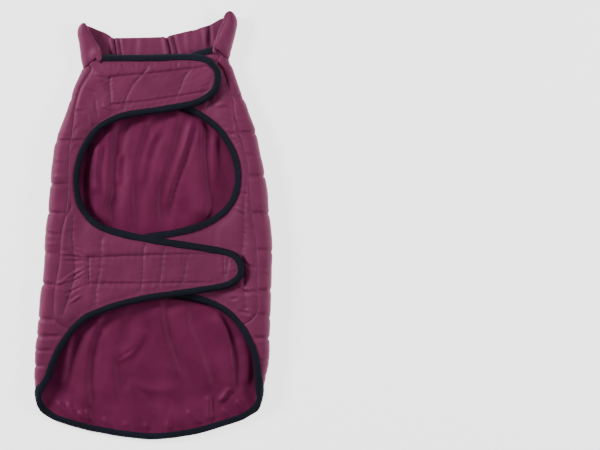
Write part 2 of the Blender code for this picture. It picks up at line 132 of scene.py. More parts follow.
# Round the hem of the back: x, y
HEM_EDGE = (
    (-124.0, -240.0), (-110.5, -245.0), (-92.0, -250.5),
    (-73.0, -255.0), (-35.5, -261.5), (2.0, -264.5), (39.5, -260.5), (64.5, -255.0),
    (97.0, -245.0), (112.0, -239.5),
)
# Across the right fold: share of the half turn, y
RIGHT_CORNER = ((0.12, -230.5), (0.38, -222.5), (0.62, -214.5), (0.85, -204.5))
# Middle of the binding along the right front with its two tabs: x, y on the flap
RIGHT_EDGE = (
    (131.0, -190.0), (130.0, -175.0), (127.5, -161.0), (123.0, -149.0),
    (114.5, -132.5), (103.0, -117.5), (89.5, -106.0), (72.0, -97.5), (55.5, -92.5),
    (33.0, -89.0), (-4.5, -85.0), (-34.5, -82.0), (-53.0, -75.5), (-62.5, -65.0),
    (-65.0, -53.0), (-61.0, -41.0), (-52.0, -32.0), (-35.5, -25.0), (-17.0, -20.0),
    (-2.0, -16.0), (27.0, -11.5), (53.0, -5.0), (74.5, 4.5), (89.5, 15.5),
    (99.5, 28.0), (105.0, 42.0), (107.0, 57.5), (105.0, 75.0), (99.5, 92.5),
    (90.5, 108.0), (78.0, 122.5), (63.0, 134.0), (47.0, 142.5), (23.0, 149.0),
    (-4.5, 152.5), (-25.5, 155.5), (-39.5, 162.0), (-45.0, 172.0), (-42.5, 182.0),
    (-32.0, 189.5), (-10.5, 195.0), (14.5, 199.0), (33.0, 203.0), (48.0, 208.0),
    (60.5, 212.5), (76.5, 216.8),
)
print(sum(map(len, (LEFT_EDGE, LEFT_CORNER, HEM_EDGE, RIGHT_CORNER, RIGHT_EDGE))),
      "points along the binding")

# %% [markdown]
# ## Neck, collar and side seams
#
# The neck seam dips at the back, as the collar is sewn lower there. The collar's top rises at
# both folds into two horns, and its ends come down to the bound edge.

# %% Neck, collar and side seams
# Neck seam. On the flaps x, y; on the folds share, y; on the back x, y
NECK_RIGHT_FLAP = ((77.5, 220.0), (82.0, 215.5), (86.0, 211.0))
NECK_RIGHT_FOLD = ((0.85, 206.5), (0.5, 203.0), (0.15, 199.5))
NECK_BACK = ((77.0, 190.0), (62.0, 181.5), (45.5, 175.5), (25.0, 171.0), (4.5, 169.0),
             (-13.0, 169.2), (-29.5, 171.5), (-48.0, 175.5), (-67.0, 181.0))
NECK_LEFT_FOLD = ((0.15, 187.5), (0.5, 190.5), (0.85, 194.0))
NECK_LEFT_FLAP = ((-78.5, 198.5), (-74.0, 202.0), (-69.5, 206.0))

# Top of the collar: left end on its flap, over the fold, along the back, over, end
COLLAR_LEFT_END = ((-66.0, 200.5), (-62.6, 203.5), (-62.6, 210.0), (-65.0, 218.0),
                   (-70.7, 226.5), (-76.8, 237.4), (-81.2, 245.5))
COLLAR_LEFT_FOLD = ((0.97, 250.4), (0.82, 249.9), (0.66, 247.4), (0.5, 246.0), (0.3, 246.4),
                    (0.12, 248.2))
COLLAR_TOP = ((-79.0, 246.6), (-70.5, 242.8), (-61.7, 239.4), (-55.4, 236.0), (-52.2, 233.2),
              (-50.2, 232.0), (-46.0, 232.4), (-29.5, 232.6), (-10.0, 233.0),
              (9.0, 233.6), (13.5, 233.8), (16.2, 232.2), (19.5, 235.0), (33.0, 238.4),
              (45.5, 241.4), (53.5, 242.8), (58.0, 244.9), (70.5, 248.8), (84.0, 256.2))
COLLAR_RIGHT_FOLD = ((0.1, 259.0), (0.35, 260.0), (0.55, 260.6), (0.72, 262.9), (0.87, 265.0),
                     (0.97, 265.0))
COLLAR_RIGHT_END = ((90.8, 262.5), (88.0, 256.5), (85.2, 247.5), (81.2, 238.5), (78.3, 230.0),
                    (76.0, 222.5), (74.7, 217.0), (75.4, 212.3), (80.5, 210.0))

# Side seams, from the neck to the rear opening: x, y on the flap
LEFT_SEAM = ((-78.5, 198.5), (-88.0, 172.5), (-97.0, 140.0), (-102.0, 101.0), (-104.5, 56.0),
             (-108.0, 12.5), (-114.5, -21.0), (-117.0, -55.0), (-121.0, -77.5),
             (-122.5, -95.0), (-121.0, -118.0))
RIGHT_SEAM = ((86.0, 211.0), (96.0, 166.0), (101.5, 136.0), (107.0, 115.0), (112.5, 95.0),
              (120.0, 46.0), (123.0, 12.5), (127.5, -15.0), (130.0, -64.0),
              (130.0, -81.0), (129.0, -112.0))
print(len(COLLAR_TOP), "points along the back of the collar")

# %% [markdown]
# ## From the flat pattern to the laid coat
#
# The middle of the pattern is the back. On each side it turns over a fold, as a coat does when
# it is pressed flat, and comes forward as a front panel. The right panel rests on the lining of
# the back. The left straps come down from their own fold and then lie on the right tabs.

# %% The wrap
def curve(xs, ys, x):
    """Smooth curve through the rows of a table, read at x."""
    xs = np.asarray(xs, float)
    ys = np.asarray(ys, float)
    slope = np.gradient(ys, xs)
    i = np.clip(np.searchsorted(xs, x) - 1, 0, len(xs) - 2)
    h = xs[i + 1] - xs[i]
    t = np.clip((x - xs[i]) / h, 0.0, 1.0)
    a = ys[i] * (1 + 2 * t) * (1 - t) ** 2 + ys[i + 1] * t * t * (3 - 2 * t)
    b = slope[i] * t * (1 - t) ** 2 - slope[i + 1] * t * t * (1 - t)
    return a + b * h


def ease(t):
    """0 to 1 with a soft start and a soft end."""
    t = np.clip(t, 0.0, 1.0)
    return t * t * (3 - 2 * t)


def section(side, y):
    """Fold centre and outer fold radius at y, on the side -1 or 1."""
    left = curve(SECTIONS[:, 0], SECTIONS[:, 1], y)
    right = curve(SECTIONS[:, 0], SECTIONS[:, 2], y)
    radius = curve(SECTIONS[:, 0], SECTIONS[:, 3], y)
    return np.where(side < 0, left, right) - radius, radius


def right_height(x, y):
    """Height of the right flap's reference surface over x, y."""
    centre, radius = section(1.0, y)
    top = 2 * radius - OUT
    return LOW + (top - LOW) * (1 - ease((centre - x) / REACH))


def left_height(x, y):
    """The left flap comes down from its fold, then lies on the right tabs."""
    centre, radius = section(-1.0, y)
    top = 2 * radius - OUT
    alone = LOW + (top - LOW) * (1 - ease((centre + x) / REACH))
    start = -87.0 - 22.0 * ease((40.0 - y) / 60.0)
    on_tabs = ease((x - start) / 34.0)
    return alone * (1 - on_tabs) + (right_height(x, y) + STACK) * on_tabs


def hem_lift(x, y):
    """The hem stands a little off the table, by the thickness of its binding."""
    hem = np.interp(x, [p[0] for p in HEM_EDGE], [p[1] for p in HEM_EDGE])
    return LIFT * (1 - ease((y - hem - 10.0) / 30.0))


def surface(m, y):
    """Points between the two cloth layers."""
    m = np.asarray(m, float)
    y = np.asarray(y, float)
    side = np.where(m < 0, -1.0, 1.0)
    centre, radius = section(side, y)
    r = radius - OUT
    a = np.abs(m)
    turn = np.clip((a - centre) / ARC, 0, 1) * math.pi
    inward = np.maximum(a - centre - ARC, 0)
    x = side * (np.minimum(a, centre) + r * np.sin(turn) - inward)
    z = radius - r * np.cos(turn)
    flap = np.where(side < 0, left_height(x, y), right_height(x, y))
    z = np.where(inward > 0, flap, z)
    return np.stack([x, y, z + hem_lift(x, y)], axis=-1)


def slopes(m, y, h=0.25):
    """How the coat runs along the pattern's two directions."""
    along_m = (surface(m + h, y) - surface(m - h, y)) / (2 * h)
    along_y = (surface(m, y + h) - surface(m, y - h)) / (2 * h)
    return along_m, along_y


def normals(m, y):
    """Unit arrows out of the cloth."""
    along_m, along_y = slopes(m, y)
    n = -np.cross(along_m, along_y)
    return n / np.linalg.norm(n, axis=-1, keepdims=True)


heights = surface(np.array([-60.0, 0.0, 400.0]), np.zeros(3))[:, 2]
print("heights of the left back, the middle and the right flap", np.round(heights, 1), "mm")

# %% [markdown]
# ## Points on the pattern
#
# Three short readings turn a point on a flap, a fold or the back into one point of the pattern,
# and two more go between the pattern and true lengths, where cloth neither stretches nor shrinks.

# %% Points on the pattern
def on_flap(side, pairs):
    """x, y over a flap to the pattern."""
    out = []
    for x, y in pairs:
        centre, _ = section(side, y)
        out.append((side * (float(centre) + ARC + float(centre) - side * x), y))
    return out


def on_fold(side, pairs):
    """Share of the half turn and y to the pattern."""
    out = []
    for share, y in pairs:
        centre, _ = section(side, y)
        out.append((side * (float(centre) + ARC * share), y))
    return out


def unroll(flat):
    """The pattern with its folds at their true length."""
    m, y = flat[:, 0], flat[:, 1]
    side = np.where(m < 0, -1.0, 1.0)
    centre, radius = section(side, y)
    a = np.abs(m)
    turn = np.clip((a - centre) / ARC, 0, 1) * math.pi * (radius - OUT)
    inward = np.maximum(a - centre - ARC, 0)
    return np.stack([side * (np.minimum(a, centre) + turn + inward), y], axis=1)


def roll(real):
    """The other way, from true lengths to the pattern."""
    q, y = real[:, 0], real[:, 1]
    side = np.where(q < 0, -1.0, 1.0)
    centre, radius = section(side, y)
    a = np.abs(q)
    length = math.pi * (radius - OUT)
    share = np.clip((a - centre) / length, 0, 1)
    inward = np.maximum(a - centre - length, 0)
    return np.stack([side * (np.minimum(a, centre) + ARC * share + inward), y], axis=1)


def place(real, off):
    """Points over true lengths, this far out of the middle of the cloth, in metres."""
    flat = roll(np.asarray(real, float))
    base = surface(flat[:, 0], flat[:, 1])
    off = np.broadcast_to(off, len(flat))[:, None]
    return (base + off * normals(flat[:, 0], flat[:, 1]) - ORIGIN) * MM


print("half turn of the left fold at y 0:",
      round(float(np.diff(unroll(np.array(on_fold(-1, [(1, 0), (0, 0)])))[:, 0])[0]), 1), "mm")

# %% [markdown]
# ## Walking over the cloth
#
# The tape has one width everywhere, so its two borders are found by walking over the curved
# cloth at a right angle to its middle line.

# %% Walking over the cloth
def march(real, tangent, distance, pieces=6):
    """Points this far to the left of an edge, walked over the cloth."""
    here = np.array(real, float)
    heading = None
    h = 0.25
    for _ in range(pieces):
        along = []
        for step in ((h, 0.0), (0.0, h)):
            ahead, behind = roll(here + step), roll(here - np.array(step))
            along.append((surface(ahead[:, 0], ahead[:, 1])
                          - surface(behind[:, 0], behind[:, 1])) / (2 * h))
        n = -np.cross(along[0], along[1])
        n = n / np.linalg.norm(n, axis=1, keepdims=True)
        if heading is None:
            heading = np.cross(n, along[0] * tangent[:, :1] + along[1] * tangent[:, 1:])
        heading = heading - n * (heading * n).sum(axis=1, keepdims=True)
        heading = heading / np.linalg.norm(heading, axis=1, keepdims=True)
        basis = np.stack(along, axis=2)
        square = np.einsum("nki,nkj->nij", basis, basis)
        pull = np.einsum("nki,nk->ni", basis, heading * distance / pieces)
        here = here + np.linalg.solve(square, pull[:, :, None])[:, :, 0]
    return here


def spline(points, per=12):
    """Closely spaced points of a smooth curve through the pattern, in true lengths."""
    p = unroll(np.array(points, float))
    p = np.vstack([2 * p[0] - p[1], p, 2 * p[-1] - p[-2]])
    out = []
    for i in range(1, len(p) - 2):
        t = np.arange(per)[:, None] / per
        a, b, c, d = p[i - 1], p[i], p[i + 1], p[i + 2]
        out.append(0.5 * (2 * b + (c - a) * t + (2 * a - 5 * b + 4 * c - d) * t**2
                          + (3 * b - a - 3 * c + d) * t**3))
    out.append(p[-2][None])
    return np.vstack(out)


def evenly(real, spacing):
    """The same curve with points this far apart over the cloth."""
    flat = roll(real)
    steps = np.linalg.norm(np.diff(surface(flat[:, 0], flat[:, 1]), axis=0), axis=1)
    along = np.concatenate([[0], np.cumsum(steps)])
    at = np.linspace(0, along[-1], max(2, round(along[-1] / spacing)) + 1)
    return np.stack([np.interp(at, along, real[:, k]) for k in (0, 1)], axis=1)


middle = evenly(spline(on_flap(-1, LEFT_EDGE) + on_fold(-1, LEFT_CORNER) + list(HEM_EDGE)
                       + on_fold(1, RIGHT_CORNER) + on_flap(1, RIGHT_EDGE)), 2.4)
smooth = np.stack([np.convolve(np.pad(middle[:, k], 3, "reflect", reflect_type="odd"),
                               np.ones(7) / 7, "valid") for k in (0, 1)], axis=1)
tangent = np.gradient(smooth, axis=0)
edge = march(middle, tangent, EDGE_FROM_MIDDLE)
inner = march(middle, tangent, EDGE_FROM_MIDDLE - BAND)
neck = evenly(spline(on_flap(1, NECK_RIGHT_FLAP) + on_fold(1, NECK_RIGHT_FOLD)
                     + list(NECK_BACK) + on_fold(-1, NECK_LEFT_FOLD)
                     + on_flap(-1, NECK_LEFT_FLAP)), 3.0)
outline = np.vstack([edge, neck])
print("bound edge", round(float(len(middle) * 2.4)), "mm, neck", round(len(neck) * 3.0), "mm")

# %% [markdown]
# ## Where the cloth is stitched
#
# A quilted coat is only thick between its stitch lines. Each line pulls the wadding down, and
# thread shrinks the cloth along it, so short puckers stand across it.

# %% Stitch lines
# x, y over the coat, in its own sizes
STITCHED_CHEST = ((-53, 182), (-22, 185), (28, 190), (74, 196), (73, 181), (70, 165),
                  (34, 159), (-10, 152), (-52, 148), (-52.5, 165), (-53, 182))
STITCHED_BELLY = ((-80, -42), (-30, -40), (30, -38), (87.5, -36.5), (89, -55), (89.5, -73),
                  (30, -73.5), (-30, -74), (-79, -74), (-79.5, -58), (-80, -42))
QUILT_LEFT = (
    ((-62, -8), (-64, -30), (-68, -70), (-71, -104)),
    ((-9, -20), (-12, -45), (-16, -90)),
    ((15, -24), (11, -55), (7, -88)),
    ((42, -30), (40, -60), (36, -84)),
    ((95.5, -38), (93, -55), (90.5, -73)),
    ((-6, 200), (-10.5, 188.5), (-24, 173), (-33, 155), (-37, 140)),
    ((47, 202), (42, 186), (34, 168), (26, 152)),
    ((-96, 118), (-103, 80), (-105, 40), (-100, 0), (-98, -40), (-102, -80), (-112, -112)),
)
QUILT_RIGHT = (
    ((92, 180), (96, 150), (100, 118)),
    ((113, 90), (116, 50), (114, 12), (112, -30), (114, -70), (116, -104)),
    ((136, -20), (138, -80), (137, -140)),
    ((40, -12), (34, -50), (30, -86)),
    ((-10, -20), (-14, -50), (-16, -82)),
    ((20, 196), (16, 176), (12, 152)),
    ((62, 208), (70, 170), (66, 136)),
)
# heights at the left and at the right seam
CHANNELS = ((152, 158), (101, 114), (47, 61), (13, 12.5), (-37, -34), (-75, -82.5),
            (-118, -116), (-141, -142.5), (-177, -188), (-219, -221))

print(len(QUILT_LEFT) + len(QUILT_RIGHT) + len(CHANNELS), "quilting lines")

# %% [markdown]
# ## Folds and creases
#
# The long folds inside the openings are lining that has slack because the coat is empty. They
# are given one by one, each with its own length, width and height, because no two are alike on a
# real one. The short creases stand where the straps pull on the fronts and across the folds.

# %% Folds and creases
# Lining folds inside the openings: height, half width, then x, y along it
LINING_FOLDS = (
    (4.4, 10.5, (-44, 150), (-51, 118), (-55, 76), (-57, 40), (-60, 18), (-52, -16)),
    (2.4, 5.0, (-64, 104), (-68, 80), (-70, 58), (-67, 36)),
    (2.6, 9.0, (0, 150), (-14, 112), (-24, 76), (-28, 34), (-24, -14)),
    (1.9, 6.0, (10, 122), (-3, 98), (-11, 68), (-13, 44)),
    (3.1, 10.0, (36, 158), (26, 112), (14, 72), (3, 30), (8, -12)),
    (2.5, 5.0, (52, 136), (43, 102), (34, 76), (23, 46), (15, 8)),
    (3.9, 8.5, (63, 146), (59, 104), (61, 62), (66, 20), (60, -6)),
    (2.0, 5.0, (80, 122), (79, 90), (80, 54), (75, 14)),
    (-2.6, 6.0, (-74, 116), (-84, 84), (-87, 48), (-84, 14), (-72, -8)),
    (-2.2, 6.0, (92, 128), (97, 92), (95, 52), (86, 16)),
    (1.6, 4.0, (-40, 88), (-42, 66), (-41, 48)),
    (3.2, 7.5, (-60, -104), (-76, -140), (-83, -186), (-80, -236)),
    (2.4, 5.0, (-100, -132), (-107, -162), (-112, -206)),
    (2.0, 10.0, (-30, -100), (-44, -136), (-50, -172), (-46, -222)),
    (1.7, 7.5, (-8, -130), (-26, -160), (-48, -173)),
    (3.2, 7.0, (6, -88), (12, -124), (20, -156), (36, -196)),
    (2.5, 13.0, (36, -92), (44, -130), (58, -166), (72, -214)),
    (3.0, 6.5, (78, -104), (92, -138), (98, -172), (98, -214)),
    (2.2, 5.0, (114, -138), (120, -168), (119, -204)),
    (1.4, 13.0, (-36, -196), (-6, -206), (30, -208)),
)
# Short gathers along the hem of the lining
HEM_GATHERS = (
    (2.7, 2.7, (-120, -218), (-108, -232), (-98, -245)), (2.4, 2.4, (-106, -220), (-92, -252)),
    (2.9, 2.9, (-92, -232), (-82, -244), (-76, -254)), (2.4, 2.4, (-84, -230), (-67, -254)),
    (2.5, 2.5, (-60, -240), (-49, -256)), (1.9, 2.5, (-34, -246), (-28, -260)),
    (1.7, 2.5, (-8, -248), (-6, -262)), (1.9, 2.5, (20, -246), (22, -262)),
    (2.4, 2.5, (44, -230), (52, -238), (60, -248)), (2.7, 2.7, (70, -212), (73, -247)),
    (2.5, 2.5, (98, -205), (84, -224)), (2.2, 2.2, (107, -218), (112, -234)),
    (2.4, 2.4, (115, -216), (121, -232)), (2.0, 2.2, (90, -228), (97, -244)),
)
# Creases on the outside: height (below zero is a trough), half width, x, y along it
LEFT_CREASES = (
    (1.4, 1.7, (-95, -30), (-83, -38)), (1.7, 1.9, (-118, -36), (-98, -37), (-82, -41)),
    (-1.3, 1.5, (-112, -46), (-84, -46)), (1.5, 1.7, (-121, -77), (-100, -62), (-83, -54)),
    (1.3, 1.6, (-116, -73), (-95, -66), (-81, -58)), (-1.0, 1.4, (-112, -88), (-84, -76)),
    (1.4, 1.7, (-104, -98), (-88, -88)), (-1.3, 1.5, (-72, 155), (-69, 140), (-67, 130)),
    (1.3, 1.6, (-80, 138), (-75, 122)), (1.0, 1.5, (-111, 66), (-101, 59)),
    (-1.2, 1.5, (-66, 178), (-58, 172), (-53, 165)), (1.3, 1.7, (-72, 188), (-58, 184)),
    (-1.0, 1.4, (-84, 168), (-70, 162)), (1.3, 1.6, (-62, 148), (-50, 142)),
    (-1.5, 1.9, (-101, 30), (-104, 16), (-112, 4)), (1.0, 1.7, (-98, 100), (-104, 84)),
    (-0.9, 1.5, (-40, 203), (-36, 194)), (-0.9, 1.4, (-24, 203), (-22, 194)),
    (1.0, 1.5, (6, 204), (4, 195)), (-0.9, 1.4, (32, 204), (30, 194)),
    (-1.0, 1.7, (-122, -120), (-130, -150)), (1.0, 1.7, (-118, -138), (-128, -162)),
)
RIGHT_CREASES = (
    (-1.3, 1.7, (92, 118), (104, 100)), (1.2, 1.7, (104, 112), (112, 92)),
    (-1.3, 1.7, (106, 40), (122, 36)), (1.3, 1.9, (104, 22), (118, 12)),
    (-1.0, 1.7, (112, -48), (130, -56)), (1.3, 1.7, (106, -74), (122, -84)),
    (-1.2, 1.7, (106, -108), (124, -112)), (1.0, 1.7, (122, -140), (136, -150)),
    (1.3, 1.9, (76, 146), (94, 150)), (-1.0, 1.5, (80, 170), (92, 176)),
    (1.0, 1.5, (84, 196), (94, 190)), (-1.2, 1.6, (96, -94), (108, -92)),
)
# Pinches that run across the side folds: height, half width, y, share of the turn, inward
LEFT_PINCHES = (
    (-1.1, 1.9, 142, 0.55, 16), (-1.6, 2.0, 101, 0.3, 24), (0.7, 1.9, 112, 0.4, 14),
    (-1.4, 1.9, 48, 0.3, 26), (0.7, 2.1, 58, 0.5, 16), (-1.1, 1.7, 14, 0.4, 16),
    (-1.3, 1.7, -11, 0.4, 14), (0.6, 1.9, -26, 0.5, 10), (-1.6, 2.0, -74, 0.3, 18),
    (-1.4, 1.9, -118, 0.3, 22), (-1.6, 1.9, -139, 0.3, 24), (-1.4, 1.7, -157, 0.3, 24),
    (-1.3, 1.7, -176, 0.3, 18), (-1.0, 1.6, -196, 0.4, 8), (0.7, 1.9, 80, 0.5, 10),
)
RIGHT_PINCHES = (
    (-1.6, 2.0, 114, 0.3, 30), (0.7, 1.9, 128, 0.5, 16), (-1.1, 1.9, 84, 0.5, 10),
    (-1.4, 1.9, 60, 0.4, 14), (-1.4, 1.9, 12.5, 0.4, 20), (-1.0, 1.7, -34, 0.5, 10),
    (-1.6, 2.0, -82.5, 0.3, 32), (-1.6, 1.9, -142.5, 0.3, 16), (-1.1, 1.7, -112, 0.5, 10),
    (-1.1, 1.7, -170, 0.4, 8), (-1.1, 1.7, 160, 0.5, 12), (0.6, 1.9, -60, 0.5, 10),
)
# Collar: height, half width, x, y along it, on the inside behind the strap
COLLAR_INSIDE = (
    (2.1, 2.3, (-57, 268), (-53, 238), (-49.5, 214), (-46, 186)),
    (-2.2, 1.5, (-53, 266), (-49.8, 238), (-46.8, 214), (-43, 186)),
    (1.5, 1.8, (-49.5, 266), (-46.8, 238), (-43.8, 214), (-40, 186)),
    (-1.5, 1.9, (-45, 262), (-43.6, 236), (-40.6, 213), (-37, 188)),
    (1.1, 3.2, (-39, 256), (-38.5, 232), (-36, 208)),
    (1.6, 2.8, (9, 264), (12.4, 238), (17, 214), (22, 186)),
    (-2.4, 1.5, (13, 266), (16.2, 238), (21.2, 214), (27, 186)),
    (1.5, 2.0, (17, 266), (19.8, 238), (25, 214), (31, 186)),
    (-1.5, 2.2, (22, 266), (24.4, 238), (30, 214), (36, 186)),
    (1.1, 3.0, (27, 264), (29.6, 238), (35, 214), (41, 188)),
    (1.0, 3.2, (42, 262), (43, 234), (44, 210)), (-1.2, 2.4, (69, 272), (70.5, 240), (72, 214)),
    (1.2, 3.0, (63, 270), (65, 238), (66, 212)), (0.9, 4.0, (-13, 250), (-15, 226), (-16, 205)),
    (0.9, 3.6, (-27, 250), (-29, 226), (-30, 204)),
)
print(len(LINING_FOLDS) + len(HEM_GATHERS), "folds of lining")

# %% [markdown]
# ## How a line moves the cloth
#
# Each line of a table becomes a path over the cloth. A pucker, a crease, a fold and a swell are
# each a height over the distance to such a path, so they add up and can be tuned one by one.

# %% How a line moves the cloth
def over_flap(side, pairs):
    """Points seen from above, on a flap or on the upper half of its fold."""
    out = []
    for x, y in pairs:
        centre, radius = section(side, y)
        past = side * x - float(centre)
        if past > 0:
            turn = math.pi - math.asin(min(past / (float(radius) - OUT), 1.0))
            out.append((side * (float(centre) + ARC * turn / math.pi), y))
        else:
            out.append((side * (float(centre) + ARC - past), y))
    return unroll(np.array(out))


def curved(line):
    """A smooth version of a short path in true lengths."""
    if len(line) < 3:
        return line
    t = np.arange(len(line))
    fine = np.linspace(0, len(line) - 1, 8 * len(line))
    return np.stack([curve(t, line[:, k], fine) for k in (0, 1)], axis=1)


def pinch(side, row):
    """The path of a pinch from the fold on to the flap."""
    _, _, y, share, inward = row
    lean = 3.0 * math.sin(y * 0.7)
    path = on_fold(side, [(share, y), (0.75, y + 0.3 * lean)])
    centre = float(section(side, y)[0])
    path.append((side * (centre + ARC + inward), y + lean))
    return unroll(np.array(path))


def nearest(points, line, reach=FAR):
    """How far each point is from a line, and how far along the line it comes."""
    gap = np.full(len(points), 10 * FAR)
    along = np.zeros(len(points))
    low, high = line.min(axis=0) - reach, line.max(axis=0) + reach
    near = np.flatnonzero(((points > low) & (points < high)).all(axis=1))
    p = points[near]
    best, at, start = np.full(len(p), 10 * FAR), np.zeros(len(p)), 0.0
    for a, b in zip(line[:-1], line[1:]):
        ab = b - a
        size = max(float(np.hypot(*ab)), 1e-9)
        t = np.clip(((p - a) @ ab) / size**2, 0, 1)
        d = np.hypot(p[:, 0] - a[0] - t * ab[0], p[:, 1] - a[1] - t * ab[1])
        closer = d < best
        best[closer] = d[closer]
        at[closer] = start + (t * size)[closer]
        start += size
    gap[near], along[near] = best, at
    return gap, along, start


def near(gap, width, power=2):
    """1 on a line, and close to 0 two widths away from it."""
    return np.exp(-(gap / width) ** power)


def uneven(s, spacing, seed):
    """A line of soft ups and downs, of unequal size and unequally spaced."""
    rng = np.random.default_rng(seed)
    count = int(2600.0 / (0.6 * spacing))
    knots = np.cumsum(rng.uniform(0.35, 1.15, count)) * spacing - 2 * spacing
    values = rng.uniform(0.25, 1.0, count) * np.where(np.arange(count) % 2, 1.0, -1.0)
    i = np.clip(np.searchsorted(knots, s) - 1, 0, count - 2)
    t = np.clip((s - knots[i]) / (knots[i + 1] - knots[i]), 0, 1)
    return values[i] + (values[i + 1] - values[i]) * ease(t)


def puckers(points, line, seed, size=0.5, spacing=5.0, length=8.0):
    """Short ridges and troughs that stand across a line of thread."""
    gap, along, _ = nearest(points, line, 5 * length)
    reach = length * (1.0 + 0.6 * uneven(along, 2.1 * spacing, seed + 1))
    strength = 0.65 + 0.35 * uneven(along, 9 * spacing, seed + 2)
    fade = near(gap, reach, 1.3) * (gap < FAR)
    return size * strength * uneven(along, spacing, seed) * fade


def crease(points, line, height, width):
    """A soft ridge, or a trough with raised lips, that fades at both ends."""
    gap, along, total = nearest(points, line, 5 * width)
    ends = np.clip(np.minimum(along, total - along) / max(0.35 * total, 1e-6), 0, 1)
    core = near(gap, width)
    lips = near(gap - 2.0 * width, 0.9 * width)
    fade = 0.15 + 0.85 * ease(ends)
    return height * fade * (core - 0.28 * lips) * (gap < FAR)


def fold(points, line, height, width):
    """A fold of loose cloth: it rises slowly on one side and drops quickly on the other."""
    gap, along, total = nearest(points, line, 5 * width)
    t = np.linspace(0, 1, len(line))
    reach = along / max(total, 1e-6)
    x = np.interp(reach, t, line[:, 0])
    slow = points[:, 0] < x
    span = np.where(slow, 2.0 * width, 0.42 * width)
    core = near(gap, span)
    lips = near(gap - 1.2 * width, 0.7 * width) * ~slow
    ends = np.clip(np.minimum(along, total - along) / max(0.17 * total, 1e-6), 0, 1)
    return 1.3 * height * (0.1 + 0.9 * ease(ends)) * (core - 0.3 * lips) * (gap < FAR)


def waves(points, seed, size, shortest, longest, count=14, lean=None):
    """Slow, irregular swells of the whole cloth."""
    rng = np.random.default_rng(seed)
    total = np.zeros(len(points))
    for _ in range(count):
        turn = rng.uniform(0, math.pi) if lean is None else rng.normal(lean, 0.35)
        reach = rng.uniform(shortest, longest)
        k = 2 * math.pi / reach
        phase = k * (points[:, 0] * math.cos(turn) + points[:, 1] * math.sin(turn))
        total += np.sin(phase + rng.uniform(0, 6.28)) * reach / longest
    return size * total / math.sqrt(count)


lining_folds = [(h, w, curved(unroll(np.array(path, float))))
                for h, w, *path in LINING_FOLDS + HEM_GATHERS]
left_lines = [curved(over_flap(-1, path)) for path in QUILT_LEFT]
right_lines = [curved(over_flap(1, path)) for path in QUILT_RIGHT]
stitched = [over_flap(-1, STITCHED_CHEST), over_flap(-1, STITCHED_BELLY)]
left_creases = [(h, w, curved(over_flap(-1, path))) for h, w, *path in LEFT_CREASES]
right_creases = [(h, w, curved(over_flap(1, path))) for h, w, *path in RIGHT_CREASES]
pinches = ([(row[0], row[1], pinch(-1, row)) for row in LEFT_PINCHES]
           + [(row[0], row[1], pinch(1, row)) for row in RIGHT_PINCHES])
channels = [np.array([(-175.0, low), (-60.0, (2 * low + high) / 3 + 2.0),
                      (60.0, (low + 2 * high) / 3 - 2.0), (175.0, high)])
            for low, high in CHANNELS]
print(len(left_creases) + len(right_creases) + len(pinches), "outside creases")

# %% [markdown]
# ## Cutting a panel out of a fine net
#
# A panel is cut like cloth: a fine square net is laid over the pattern, what falls outside the
# outline is dropped, the cut edge is drawn to the outline, and the net is thickened into a
# closed wall. The net is then wrapped, and every crease moves it along its own normal.

# %% The panel cutter
def inside(points, polygon):
    """Which points lie inside a closed outline, by counting crossings."""
    a, b = polygon, np.roll(polygon, -1, axis=0)
    count = np.zeros(len(points), int)
    for p, q in zip(a, b):
        if p[1] == q[1]:
            continue
        cross = (p[1] > points[:, 1]) != (q[1] > points[:, 1])
        at = p[0] + (points[:, 1] - p[1]) / (q[1] - p[1]) * (q[0] - p[0])
        count += cross & (points[:, 0] < at)
    return count % 2 == 1


def nearest_points(points, line):
    """For each point, the closest place on a line."""
    best, where = np.full(len(points), 10 * FAR), np.zeros((len(points), 2))
    for a, b in zip(line[:-1], line[1:]):
        ab = b - a
        t = np.clip(((points - a) @ ab) / max(float(ab @ ab), 1e-12), 0, 1)
        at = a + t[:, None] * ab
        d = np.hypot(*(points - at).T)
        closer = d < best
        best[closer], where[closer] = d[closer], at[closer]
    return where


def linked(name, bm):
    """A mesh object from a bmesh, smooth shaded and in the scene."""
    mesh = bpy.data.meshes.new(name)
    bm.to_mesh(mesh)
    bm.free()
    mesh.shade_smooth()
    made = bpy.data.objects.new(name, mesh)
    bpy.context.scene.collection.objects.link(made)
    return made


